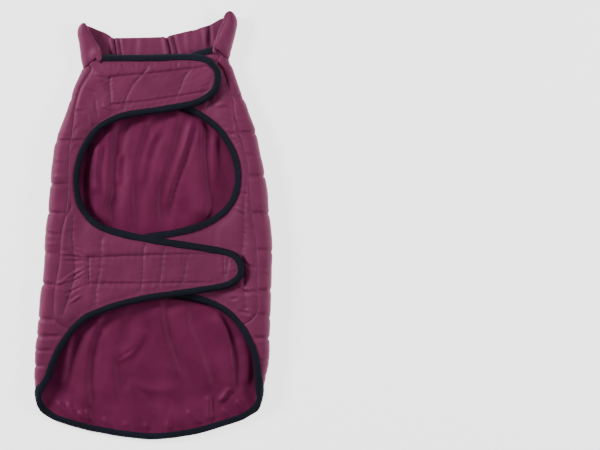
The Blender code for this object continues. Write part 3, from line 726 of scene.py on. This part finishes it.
def panel(name, polygon, cell, outer, inside_face):
    """A wall over a polygon of the pattern. outer and inside_face give its two offsets."""
    low, high = polygon.min(axis=0) - cell, polygon.max(axis=0) + cell
    size = high - low
    counts = [int(round(v / cell)) for v in size]
    bm = bmesh.new()
    shape = Matrix.Translation(((low[0] + high[0]) / 2, (low[1] + high[1]) / 2, 0))
    shape = shape @ Matrix.Diagonal((size[0], size[1], 1, 1))
    bmesh.ops.create_grid(bm, x_segments=counts[0], y_segments=counts[1], size=0.5,
                          matrix=shape)
    bm.faces.ensure_lookup_table()
    centres = np.array([f.calc_center_median()[:2] for f in bm.faces])
    keep = inside(centres, polygon)
    gone = [f for f, k in zip(bm.faces, keep) if not k]
    bmesh.ops.delete(bm, geom=gone, context="FACES")
    rim = [v for v in bm.verts if v.is_boundary]
    closed = np.vstack([polygon, polygon[:1]])
    for v, at in zip(rim, nearest_points(np.array([v.co[:2] for v in rim]), closed)):
        v.co.x, v.co.y = at
    real = np.array([v.co[:2] for v in bm.verts])
    number = bm.verts.layers.int.new("number")
    for i, v in enumerate(bm.verts):
        v[number] = i
    first = place(real, outer(real))
    second = place(real, inside_face(real))
    made = bmesh.ops.extrude_face_region(bm, geom=bm.faces[:], use_keep_orig=True)
    copies = {v for v in made["geom"] if isinstance(v, bmesh.types.BMVert)}
    for v in bm.verts:
        i = v[number]
        x, y, z = second[i] if v in copies else first[i]
        v.co = (x, y, max(z, 0.0))
    order = np.array([v[number] for v in bm.verts])
    bmesh.ops.recalc_face_normals(bm, faces=bm.faces[:])
    made = linked(name, bm)
    mesh = made.data
    corners = np.empty(len(mesh.loops), int)
    mesh.loops.foreach_get("vertex_index", corners)
    mesh.uv_layers.new(name="cloth")
    mesh.uv_layers["cloth"].data.foreach_set("uv", (real[order][corners] * MM).ravel())
    print(name, len(mesh.polygons), "faces")
    return made


def past_band(points):
    """0 under the binding, then 1 once the cloth is free of it."""
    inside_band = nearest(points, edge)[0]
    return ease((inside_band - BAND + 1.0) / 9.0)

# %% [markdown]
# ## The lining
#
# One smooth layer lines the whole coat. In the two openings it lies loose, with long soft folds
# that run from the chest towards the tail. Under the front panels it is held down flat. The
# binding gathers its edge into short puckers.

# %% The lining
def seen_through(points):
    """How far a point of the back is inside an opening between the front panels."""
    left, right = np.array(LEFT_EDGE), np.array(RIGHT_EDGE)
    # the leg opening runs from the chest strap to the belly strap, the rear one to the hem
    leg = np.vstack([left[16:33], [(52, -5), (74, 4)], right[29:38], [(30, 147)], left[13:16]])
    rear = np.vstack([left[37:], [(-124, -238), (-73, -256), (2, -266), (64, -256), (112, -240)],
                      right[:9], [(33, -89), (-4, -93)]])
    total = np.zeros(len(points))
    for polygon in (leg, rear):
        closed = np.vstack([polygon, polygon[:1]])
        d = nearest(points, closed)[0]
        total = np.maximum(total, np.where(inside(points, polygon), d, 0.0))
    return total


def lining_inside(points):
    """The face that shows, with its long folds and its gathered edge."""
    lift = np.zeros(len(points))
    open_to = seen_through(points)
    for height, width, path in lining_folds:
        lift = lift + fold(points, path, height, width)
    lift = lift + waves(points, 3, 0.45, 22.0, 75.0, lean=0.12)
    free = ease(open_to / 14.0)
    lift = np.maximum(lift, -0.6 + 0.1 * lift) * (0.12 + 0.88 * free)
    lift = lift + 0.9 * free
    close = puckers(points, inner, 41, 0.75, 5.0, 8.0)
    lift = lift + close * np.where(free > 0, 1.0, 0.5) * past_band(points)
    lift = lift + waves(points, 5, 0.12, 9.0, 20.0, lean=0.2)
    limit = 0.9 + 8.0 * free
    return INN - np.clip(lift, -0.25, limit) * ease(nearest(points, edge)[0] / 8.0)


def lining_outside(points):
    """The hidden face, which never passes into the shell."""
    return np.minimum(lining_inside(points) + LINING, -SEAM / 2)


lining = panel("lining_cloth", outline, 2.45, lining_outside, lining_inside)

# %% [markdown]
# ## The quilted shell
#
# The shell is cut as a back and two fronts. The back wraps round both folds and meets each
# front at a side seam. Its quilting runs across the dog in channels, and the fronts are quilted
# along their length, so the puffs change direction at the seam.

# %% The quilted panels
def seam(side, table):
    """A side seam from the neck to the bound edge, and where on the edge it ends."""
    body = unroll(np.array(on_flap(side, table)))
    start = neck[np.argmin(np.linalg.norm(neck - body[0], axis=1))]
    k = int(np.argmin(np.linalg.norm(edge - body[-1], axis=1)))
    path = curved(np.vstack([start[None], body[1:], edge[k][None]]))
    return path, k


def on_neck(path):
    """Where on the outline a seam starts."""
    return len(edge) + int(np.argmin(np.abs(neck - path[0]).sum(axis=1)))


left_seam, left_low = seam(-1, LEFT_SEAM)
right_seam, right_low = seam(1, RIGHT_SEAM)
left_high, right_high = on_neck(left_seam), on_neck(right_seam)
left_part = np.vstack([outline[:left_low], left_seam[::-1], outline[left_high + 1:]])
right_part = np.vstack([outline[right_low + 1:right_high], right_seam])
back_part = np.vstack([outline[left_low + 1:right_low], right_seam[::-1],
                       outline[right_high + 1:left_high], left_seam])


def aside(polygon, line, gap):
    """The polygon with the points of a seam moved off it."""
    moved = polygon.copy()
    for i, p in enumerate(polygon):
        if np.abs(line - p).sum(axis=1).min() < 1e-6:
            moved[i, 0] += gap
    return moved


HAIR = 0.03
left_part = aside(left_part, left_seam, -HAIR)
right_part = aside(right_part, right_seam, HAIR)
back_part = aside(aside(back_part, left_seam, HAIR), right_seam, -HAIR)


def quilted(points, lines, creases, seed, puff, pressed=()):
    """How far the outside stands off its own form."""
    held = nearest(points, inner)[0]
    fill = 1 - np.exp(-held / 6.0)
    height = np.zeros(len(points))
    for k, line in enumerate(lines):
        gap = nearest(points, line, 60.0)[0]
        fill = fill * (1 - 0.9 * near(gap, 3.8, 1.2))
        height += puckers(points, line, seed + 7 * k, 0.4, 5.5, 5.5)
        height -= 0.35 * near(gap, THREAD_GROOVE)
    for line in (left_seam, right_seam):
        gap = nearest(points, line, 60.0)[0]
        fill = fill * (1 - 0.4 * near(gap, 1.8, 1.3))
        height += puckers(points, line, seed + 90, 0.16, 6.5, 5.0)
    height += puckers(points, inner, seed + 200, 0.6, 5.2, 8.0)
    for k, line in enumerate(pressed):
        gap = nearest(points, line, 60.0)[0]
        fill = fill * (1 - near(gap, 2.4, 1.4))
        height += puckers(points, line, seed + 300 + 9 * k, 0.6, 5.6, 6.0)
        within = ease(gap / 6.0) * inside(points, line[:-1])
        fill = fill * (1 - 0.45 * within)
        height -= 0.7 * near(gap, THREAD_GROOVE)
    for h, width, path in creases:
        height += crease(points, path, h, width)
    height += waves(points, seed + 400, 0.5, 18.0, 55.0)
    height += waves(points, seed + 401, 0.05, 8.0, 15.0)
    free = past_band(points)
    off = (-0.9 + puff * fill) * free + height * (0.15 + 0.85 * free) - 0.2 * (1 - free)
    for line in (left_seam, right_seam):
        gap = nearest(points, line, 30.0)[0]
        close = near(gap, 2.2)
        off = off * (1 - close) - 0.55 * close
    return OUT + off


def left_outside(points):
    """The left front, with its straps stitched down over the hook tapes."""
    return quilted(points, left_lines, left_creases + pinches, seed=500, puff=2.2,
                   pressed=stitched)


def right_outside(points):
    """The right front. Its tabs are pressed thin where the straps lie on them."""
    off = quilted(points, right_lines, right_creases + pinches, seed=800, puff=2.1)
    flat = roll(points)
    x = surface(flat[:, 0], flat[:, 1])[:, 0]
    under = ease((86.0 - x) / 12.0)
    return np.where(under > 0, off * (1 - under) + np.minimum(off, OUT + 0.1) * under, off)


def back_outside(points):
    """The back, quilted across in channels."""
    return quilted(points, channels, pinches, seed=1100, puff=1.2)


def shell_inside(points):
    """The inner face of the shell, half a seam's room from the lining."""
    return np.full(len(points), SEAM / 2)


back = panel("quilted_back_cloth", back_part, 2.0, back_outside, shell_inside)
left_front = panel("quilted_left_front_cloth", left_part, 1.15, left_outside, shell_inside)
right_front = panel("quilted_right_front_cloth", right_part, 1.45, right_outside, shell_inside)

# %% [markdown]
# ## The collar
#
# The collar is a padded band, sewn round the neck. The back of the neck shows its smooth inside
# behind the chest strap, and its two ends fold forward and stand up as horns on either side.

# %% The collar
collar_top = evenly(spline(on_flap(-1, COLLAR_LEFT_END) + on_fold(-1, COLLAR_LEFT_FOLD)
                           + list(COLLAR_TOP) + on_fold(1, COLLAR_RIGHT_FOLD)
                           + on_flap(1, COLLAR_RIGHT_END)), 2.5)
collar_part = np.vstack([neck + (0.0, 0.6), collar_top])
collar_rim = np.vstack([collar_top, collar_top[-1:]])
collar_folds = [(h, w, curved(unroll(np.array(path, float)))) for h, w, *path in COLLAR_INSIDE]
collar_ends = [evenly(spline(on_flap(-1, COLLAR_LEFT_END)), 2.0),
               evenly(spline(on_flap(1, COLLAR_RIGHT_END)), 2.0)]
collar_feet = [unroll(np.array(on_flap(-1, [(-63.0, 206.0)])))[0],
               unroll(np.array(on_flap(1, [(75.5, 216.5)])))[0]]


def over_binding(points):
    """The collar's two feet stand higher, because the ends of the binding run under them."""
    lift = np.zeros(len(points))
    for foot in collar_feet:
        gap = np.hypot(*(points - foot).T)
        lift = np.maximum(lift, 2.9 * (1 - ease((gap - 8.0) / 9.0)))
    return lift


def collar_outside(points):
    """The padded outer face, thinner along the stitched ends."""
    rim = nearest(points, collar_rim)[0]
    base = nearest(points, neck)[0]
    fill = (1 - np.exp(-rim / 3.5)) * (1 - np.exp(-base / 5.0))
    height = waves(points, 70, 0.5, 14.0, 45.0, lean=0.2)
    height += puckers(points, neck, 71, 0.6, 7.0, 12.0)
    height += puckers(points, collar_rim, 73, 0.3, 6.0, 7.0)
    for end in collar_ends:
        gap = nearest(points, end, 40.0)[0]
        fill = fill * (1 - 0.55 * near(gap - THREAD_FROM_EDGE, THREAD_GROOVE))
    return OUT - 1.0 + 1.9 * fill + height * ease(rim / 4.0) + over_binding(points)


def collar_inside(points):
    """The inner face, with the creases that show behind the chest strap."""
    rim = nearest(points, collar_rim)[0]
    base = nearest(points, neck)[0]
    fill = (1 - np.exp(-rim / 4.0)) * (1 - np.exp(-base / 6.0))
    height = waves(points, 80, 0.35, 14.0, 50.0, lean=0.1)
    for h, width, path in collar_folds:
        height = height + crease(points, path, h, width)
    height = height + puckers(points, collar_rim, 83, 0.35, 6.0, 9.0)
    deep = 1.6 * fill + height * (0.45 + 0.55 * ease(rim / 4.0))
    return INN + 0.9 - deep + over_binding(points)


collar = panel("collar_cloth", collar_part, 1.7, collar_outside, collar_inside)

# %% [markdown]
# ## The binding
#
# One narrow woven tape is folded over the free edge and sewn through all layers. It starts at
# one end of the collar, runs round the openings and the hem, and stops at the other end. It is a
# swept section here, wider and narrower by fractions of a millimetre, unevenly along its length.

# %% The binding
def binding_section():
    """Corners of the folded tape: share from the inner line to the edge, out, height."""
    top, low = OUT + BIND_CLEAR, INN - BIND_CLEAR
    half = (top - low) / 2
    centre = (top + low) / 2
    wall = BIND_WALL
    rows = [(0.1, 0.0, half + 0.15), (0.11, 0.0, half + 0.7), (0.18, 0.0, half + wall),
            (0.36, 0.0, half + wall + 0.25), (0.58, 0.0, half + wall + 0.3)]
    for angle in (8, 24, 40, 56, 72, 90):
        a = math.radians(angle)
        rows.append((1.0, -2.6 + 4.1 * math.sin(a), (half + wall + 0.3) * math.cos(a)))
    mirrored = [(u, out, -h) for u, out, h in rows[-2::-1]]
    hollow = [(0.1, 0.0, -half), (1.0, 0.3, -half), (1.0, 0.3, half), (0.1, 0.0, half)]
    return [(u, out, centre + h) for u, out, h in rows + mirrored + hollow]


def binding_tape():
    """Rings of points along the tape: one ring for each corner of its section."""
    rows = binding_section()
    reach = np.concatenate([[0], np.cumsum(np.linalg.norm(np.diff(middle, axis=0), axis=1))])
    flat = roll(edge)
    base = surface(flat[:, 0], flat[:, 1])
    along = np.gradient(base, axis=0)
    sideways = np.cross(normals(flat[:, 0], flat[:, 1]), along)
    sideways = sideways / np.linalg.norm(sideways, axis=1, keepdims=True)
    wide = 0.35 * uneven(reach, 26.0, 11) + 0.16 * uneven(reach, 6.0, 12)
    tall = 0.22 * uneven(reach, 5.5, 13) + 0.12 * uneven(reach, 15.0, 14)
    rings = []
    for u, out, height in rows:
        line = inner + (edge - inner) * min(u, 1.0)
        if out < 0:
            line = edge + (inner - edge) * (-out / BAND)
        centre = (OUT + INN) / 2
        face = 1.0 if height > centre else -0.5
        bump = tall * face if abs(height - centre) > 2.8 else 0.0
        if u < 0.16 and height > 0:
            line = line + (inner - edge) * (wide / BAND)[:, None] * 0.8
        at = place(line, height + bump)
        if out > 0.3:
            at = at + sideways * ((out + wide * 0.5) * MM)[:, None]
        elif out > 0:
            at = at + sideways * out * MM
        rings.append(at)
    return np.array(rings)


def swept(name, rings):
    """A closed tape through rings of points, all with the same number of stations."""
    around, stations = rings.shape[:2]
    bm = bmesh.new()
    bmesh.ops.create_grid(bm, x_segments=stations - 1, y_segments=around, size=0.5,
                          matrix=Matrix.Diagonal((stations - 1, around, 1, 1)))
    for v in bm.verts:
        i = int(round(v.co.x + (stations - 1) / 2))
        j = int(round(v.co.y + around / 2)) % around
        v.co = rings[j, i]
    bmesh.ops.remove_doubles(bm, verts=bm.verts[:], dist=1e-7)
    open_ends = [e for e in bm.edges if e.is_boundary]
    bmesh.ops.holes_fill(bm, edges=open_ends, sides=0)
    bmesh.ops.recalc_face_normals(bm, faces=bm.faces[:])
    return linked(name, bm)


rings = binding_tape()
tape = swept("edge_binding_tape", rings)
print("binding", len(tape.data.polygons), "faces")

# %% [markdown]
# ## Hook and loop tapes
#
# The straps close with hook tape sewn under the left straps, pressed on loop tape that is sewn
# on the right tabs. They are hidden while the coat is closed, so they stay plain rectangles of
# their true size, with a fine nap from the material.

# %% The fastening tapes
HOOK_CHEST = ((-52.0, 179.0), (64.0, 192.0), (64.0, 166.0), (-52.0, 151.5))
HOOK_BELLY = ((-77.0, -44.0), (85.0, -42.5), (85.0, -69.5), (-77.0, -71.0))
LOOP_CHEST = ((-31.0, 182.0), (52.0, 193.5), (52.0, 165.5), (-31.0, 165.0))
LOOP_BELLY = ((-51.0, -40.0), (64.0, -37.0), (64.0, -72.5), (-51.0, -70.5))


def tape_piece(name, side, corners, low, high):
    """A rectangle of tape on a flap, between two heights."""
    polygon = unroll(np.array(on_flap(side, corners)))
    return panel(name, polygon, 5.0, lambda p: np.full(len(p), high),
                 lambda p: np.full(len(p), low))


deep = INN - SEAM
hook_tapes = [tape_piece("hook_tape_chest_strip", -1, HOOK_CHEST, deep - TAPE, deep - SEAM),
              tape_piece("hook_tape_belly_strip", -1, HOOK_BELLY, deep - TAPE, deep - SEAM)]
loop_tapes = [tape_piece("loop_tape_chest_strip", 1, LOOP_CHEST, OUT + SEAM, OUT + SEAM + TAPE),
              tape_piece("loop_tape_belly_strip", 1, LOOP_BELLY, OUT + SEAM, OUT + SEAM + TAPE)]

# %% [markdown]
# ## Thread
#
# The thread is what makes the lines read as sewn. Each visible stitch is a short, slightly sunk
# piece of thread, about 2.5 mm long, with a small gap where it dives into the cloth.

# %% Stitches
def stitches(name, runs, field, pitch=2.5, thread=0.33):
    """Short threads along runs of true-length points, on the outside of the cloth."""
    data = bpy.data.curves.new(name, "CURVE")
    data.dimensions = "3D"
    data.bevel_depth = thread * MM
    data.bevel_resolution = 1
    data.use_fill_caps = True
    count = 0
    for run in runs:
        fine = evenly(run, pitch / 4)
        ends = list(range(0, len(fine) - 3, 4))
        off = field(fine)
        at = place(fine, off)
        deeper = place(fine, off - 0.35)
        for k in ends:
            piece = data.splines.new("POLY")
            piece.points.add(3)
            points = (deeper[k], at[k + 1] * 0.5 + at[k] * 0.5, at[k + 2], deeper[k + 3])
            for slot, co in zip(piece.points, points):
                slot.co = (*co, 1.0)
            count += 1
    curve_object = bpy.data.objects.new(name + "_curve", data)
    bpy.context.scene.collection.objects.link(curve_object)
    bpy.context.view_layer.update()
    graph = bpy.context.evaluated_depsgraph_get()
    mesh = bpy.data.meshes.new_from_object(curve_object.evaluated_get(graph))
    bpy.data.objects.remove(curve_object)
    mesh.shade_smooth()
    made = bpy.data.objects.new(name, mesh)
    bpy.context.scene.collection.objects.link(made)
    print(name, count, "stitches,", len(mesh.polygons), "faces")
    return made


left_thread = stitches("left_front_thread", stitched + left_lines[:7], left_outside)
right_thread = stitches("right_front_thread", right_lines[:3], right_outside)
fold_runs = []
for side, rows in ((-1, LEFT_PINCHES), (1, RIGHT_PINCHES)):
    for row in rows:
        if row[0] < 0:
            fold_runs.append(pinch(side, (row[0], row[1], row[2], 0.45, min(row[4], 7))))
back_thread = stitches("back_thread", fold_runs, back_outside, 2.2, 0.26)
collar_runs = []
for end, foot in zip(collar_ends, collar_feet):
    run = march(end, np.gradient(end, axis=0), THREAD_FROM_EDGE)
    collar_runs.append(run[np.hypot(*(run - foot).T) > 11.0])
collar_thread = stitches("collar_thread", collar_runs, collar_outside)
band_run = inner + (edge - inner) * 0.27


def band_top(points):
    """Just above the outer face of the binding."""
    return np.full(len(points), OUT + BIND_CLEAR + BIND_WALL + 0.05)


band_thread = stitches("binding_thread", [band_run], band_top, 3.0, 0.16)

# %% [markdown]
# ## Materials
#
# The shell is satin nylon taffeta: tight, smooth cloth with a soft broad gleam. The lining is
# the same cloth in a deeper wine, a little smoother. The tape is matt woven polyester.

# %% Materials
# Size of a patch of one shade, mm
PATCH = 35.7


def colour(code):
    """An sRGB code as linear values."""
    values = []
    for k in (1, 3, 5):
        c = int(code[k:k + 2], 16) / 255
        values.append(c / 12.92 if c <= 0.04045 else ((c + 0.055) / 1.055) ** 2.4)
    return (*values, 1.0)


def node(tree, kind, settings=None, values=None, links=None):
    """Adds a node with its settings, its input values and its links."""
    made = tree.nodes.new(kind)
    for key, value in (settings or {}).items():
        setattr(made, key, value)
    for key, value in (values or {}).items():
        made.inputs[key].default_value = value
    for key, (source, socket) in (links or {}).items():
        tree.links.new(source.outputs[socket], made.inputs[key])
    return made


def cloth(name, code, deep, rough, sheen, weave, grain, tint, specular=0.5, gleam="#FFFFFF"):
    """A woven cloth: two close shades in soft patches, and a fine weave as a bump.

    weave is the size of its slubs and grain their height, both in mm."""
    made = bpy.data.materials.new(name)
    made.use_nodes = True
    tree = made.node_tree
    shader = tree.nodes["Principled BSDF"]
    shader.inputs["Metallic"].default_value = 0.0
    shader.inputs["Sheen Weight"].default_value = sheen
    shader.inputs["Sheen Roughness"].default_value = 0.45
    shader.inputs["Sheen Tint"].default_value = colour(tint)
    shader.inputs["Specular IOR Level"].default_value = specular
    shader.inputs["Specular Tint"].default_value = colour(gleam)
    shader.inputs["Roughness"].default_value = rough
    where = node(tree, "ShaderNodeTexCoord")
    patches = node(tree, "ShaderNodeTexNoise", values={"Scale": 1 / (PATCH * MM), "Detail": 3.0},
                   links={"Vector": (where, "Object")})
    mix = node(tree, "ShaderNodeMix", {"data_type": "RGBA"})
    mix.inputs[6].default_value = colour(code)
    mix.inputs[7].default_value = colour(deep)
    ramp = node(tree, "ShaderNodeMapRange", values={"From Min": 0.35, "From Max": 0.7},
                links={"Value": (patches, "Fac")})
    tree.links.new(ramp.outputs["Result"], mix.inputs[0])
    tree.links.new(mix.outputs[2], shader.inputs["Base Color"])
    threads = node(tree, "ShaderNodeTexNoise", values={"Scale": 1 / (weave * MM), "Detail": 2.0},
                   links={"Vector": (where, "Object")})
    bump = node(tree, "ShaderNodeBump", values={"Strength": 0.25, "Distance": grain * MM},
                links={"Height": (threads, "Fac")})
    tree.links.new(bump.outputs["Normal"], shader.inputs["Normal"])
    return made


# satin nylon taffeta with soft slubs in its weave
outer_nylon = cloth("outer_nylon", "#732C4E", "#6A2648", rough=0.56, sheen=0.08, weave=1.11,
                    grain=0.25, tint="#E8B9CC", specular=0.5, gleam="#DCA2BE")
# the smooth inside, a deeper wine
lining_nylon = cloth("lining_nylon", "#6C2248", "#5C183C", rough=0.52, sheen=0.04, weave=0.91,
                     grain=0.2, tint="#E0A8C0", specular=0.5, gleam="#D274A2")
# the collar is cut from the outer cloth, a shade lighter where it is stretched
collar_nylon = cloth("collar_nylon", "#763052", "#6D294B", rough=0.56, sheen=0.08, weave=1.11,
                     grain=0.25, tint="#E8B9CC", specular=0.5, gleam="#DCA2BE")
# woven polyester binding tape
woven_tape = cloth("woven_tape", "#0A0F22", "#070A18", rough=0.85, sheen=0.03, weave=0.71,
                   grain=0.3, tint="#8C94AC", specular=0.3)
# hook tape, stiff and matt
hook_nylon = cloth("hook_nylon", "#14161C", "#0E1014", rough=0.85, sheen=0.0, weave=1.43,
                   grain=0.6, tint="#808080", specular=0.3)
# loop tape, with a soft nap
loop_nylon = cloth("loop_nylon", "#14161C", "#0E1014", rough=0.9, sheen=0.4, weave=2.0,
                   grain=0.6, tint="#808088", specular=0.2)
# polyester sewing thread, plum on the nylon and navy on the tape
plum_thread = cloth("plum_thread", "#42102A", "#380C24", rough=0.6, sheen=0.2, weave=0.5,
                    grain=0.05, tint="#D0A0B4")
navy_thread = cloth("navy_thread", "#161C2A", "#10151F", rough=0.6, sheen=0.1, weave=0.5,
                    grain=0.05, tint="#8890A0")

worn_by = (
    (lining, lining_nylon, "lining", ["smooth_lining"]),
    (back, outer_nylon, "shell", ["quilted_back"]),
    (left_front, outer_nylon, "shell", ["quilted_left_front"]),
    (right_front, outer_nylon, "shell", ["quilted_right_front"]),
    (collar, collar_nylon, "collar", ["collar"]),
    (tape, woven_tape, "binding", ["edge_binding"]),
    (hook_tapes[0], hook_nylon, "hook_tape", ["hook_tape_chest"]),
    (hook_tapes[1], hook_nylon, "hook_tape", ["hook_tape_belly"]),
    (loop_tapes[0], loop_nylon, "loop_tape", ["loop_tape_chest"]),
    (loop_tapes[1], loop_nylon, "loop_tape", ["loop_tape_belly"]),
    (left_thread, plum_thread, "shell", []),
    (right_thread, plum_thread, "shell", []),
    (back_thread, plum_thread, "shell", []),
    (collar_thread, plum_thread, "collar", []),
    (band_thread, navy_thread, "binding", []),
)
for piece, finish, slot, nodes in worn_by:
    piece.data.materials.append(finish)
    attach(piece, "root")
    if nodes:
        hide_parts(*nodes)

# %% [markdown]


# %% [markdown]
# ## Floor, light and camera
#
# The coat lies on a plain white table and is looked at from straight above, from a point a
# little to its right. Two soft lights stand low on either side, so that each fold has a lit
# flank and a dark one, and a broad one above fills in.

# %% Floor, light and camera
floor_mesh = bmesh.new()
bmesh.ops.create_grid(floor_mesh, x_segments=1, y_segments=1, size=3.0,
                      matrix=Matrix.Translation((0, 0, -0.0004)))
floor = linked("table_top", floor_mesh)
# white laminate, lit a little from within so that it stays white under soft light
white_table = bpy.data.materials.new("white_table")
white_table.use_nodes = True
laminate = white_table.node_tree.nodes["Principled BSDF"]
laminate.inputs["Base Color"].default_value = colour("#FFFFFF")
laminate.inputs["Roughness"].default_value = 0.9
laminate.inputs["Specular IOR Level"].default_value = 0.0
laminate.inputs["Emission Color"].default_value = colour("#FFFFFF")
laminate.inputs["Emission Strength"].default_value = 2.1
floor.data.materials.append(white_table)


def soft_light(name, at, size, power):
    """A square of white light that faces the coat."""
    data = bpy.data.lights.new(name, "AREA")
    data.shape = "SQUARE"
    data.size = size
    data.energy = power
    made = bpy.data.objects.new(name, data)
    made.location = at
    made.rotation_euler = (-Vector(at)).to_track_quat("-Z", "Y").to_euler()
    bpy.context.scene.collection.objects.link(made)


soft_light("left_key", (-2.0, 0.9, 1.3), 0.6, 70.0)
soft_light("right_key", (2.0, 0.1, 1.25), 0.6, 29.0)
soft_light("broad_top", (0.1, 1.0, 3.2), 1.4, 18.0)
world = bpy.data.worlds.new("studio")
world.use_nodes = True
world.node_tree.nodes["Background"].inputs["Color"].default_value = (1, 1, 1, 1)
world.node_tree.nodes["Background"].inputs["Strength"].default_value = 0.08
bpy.context.scene.world = world

EYE_HEIGHT, WIDTH_SEEN = 2.8, 0.75
eye = bpy.data.cameras.new("above")
eye.sensor_width = 36.0
eye.lens = eye.sensor_width * EYE_HEIGHT / WIDTH_SEEN
eye.clip_end = 20.0
camera = bpy.data.objects.new("above", eye)
camera.location = (0.18305, 0.00034, EYE_HEIGHT)
bpy.context.scene.collection.objects.link(camera)
bpy.context.scene.camera = camera

# %% [markdown]

# %% Last update of the scene
bpy.context.view_layer.update()
